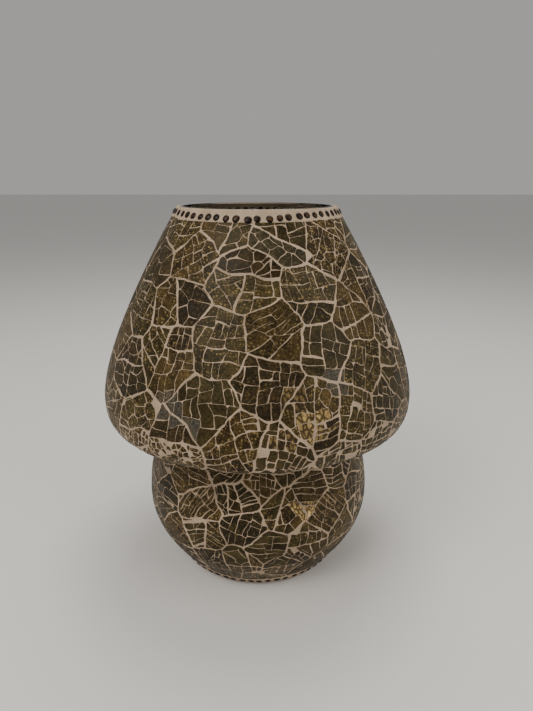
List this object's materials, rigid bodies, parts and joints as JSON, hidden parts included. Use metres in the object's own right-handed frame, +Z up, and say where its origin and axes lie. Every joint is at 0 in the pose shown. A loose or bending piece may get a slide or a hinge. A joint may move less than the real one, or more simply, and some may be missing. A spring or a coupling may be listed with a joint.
{
  "type": "table lamp",
  "caption": "Mushroom-shaped table lamp: a blown glass vessel covered in crackled glass mosaic and grout, bead bands at rim and foot, an inner lampholder and a screw-in bulb.",
  "frame": {"origin": "on the resting plane, under the lamp's axis", "axes": "+Z up along the lamp's axis; -Y is the front; the cable inlet is at the back, on +Y"},
  "size_m": [0.278, 0.278, 0.33],
  "materials": {
    "clear_glass": "clear blown glass",
    "mosaic": "glossy crackled glass tesserae in matt grout",
    "grout": "matt sandy grout with glass beads",
    "rubber": "matt",
    "dark_plate": "satin",
    "zinc_steel": "zinc plated",
    "bakelite": "semi-gloss",
    "porcelain": "glazed",
    "brass": "satin",
    "solder": "dull",
    "vitrite": "black glass",
    "bulb_glass": "clear",
    "phosphor": "matt"
  },
  "bodies": {
    "lamp_body": {"glass_body": "clear_glass", "top_bead_band": "grout", "shade_mosaic": "mosaic", "bowl_mosaic": "mosaic", "foot_bead_band": "grout", "cable_grommet": "rubber", "base_plate": "dark_plate", "base_gasket": "rubber", "foot_pad_1": "rubber", "foot_pad_2": "rubber", "foot_pad_3": "rubber", "foot_pad_4": "rubber", "clamp_bridge": "zinc_steel", "bridge_pad_1": "rubber", "bridge_pad_2": "rubber", "bridge_screw_1": "zinc_steel", "bridge_screw_2": "zinc_steel", "bridge_nut_1": "zinc_steel", "bridge_nut_2": "zinc_steel", "nipple": "zinc_steel", "nipple_nut": "zinc_steel", "lock_washer": "zinc_steel", "holder_cap": "bakelite", "holder_lock_screw": "zinc_steel", "holder_insert": "porcelain", "holder_screw_shell": "brass", "centre_contact": "brass", "terminal_screw_1": "brass", "terminal_screw_2": "brass", "holder_shell": "bakelite"},
    "bulb_riser": {"bulb_contact": "solder", "bulb_insulator": "vitrite"},
    "bulb": {"bulb_cap": "brass", "bulb_envelope": "bulb_glass", "bulb_stem": "bulb_glass", "filament_ring_lower": "zinc_steel", "filament_ring_upper": "zinc_steel", "filament_1": "phosphor", "filament_2": "phosphor", "filament_3": "phosphor", "filament_4": "phosphor"}
  },
  "joints": [
    {"name": "bulb_lift", "type": "slide", "parent": "lamp_body", "child": "bulb_riser", "axis": [0, 0, 1], "range_m": [0, 0.01271]},
    {"name": "bulb_turn", "type": "hinge", "parent": "bulb_riser", "child": "bulb", "pos_m": [0, 0, 0.07], "axis": [0, 0, 1], "range_deg": [0, 1260]}
  ],
  "couplings": [
    {"joint": "bulb_lift", "follows": "bulb_turn", "m_per_rad": 0.00057757}
  ]
}
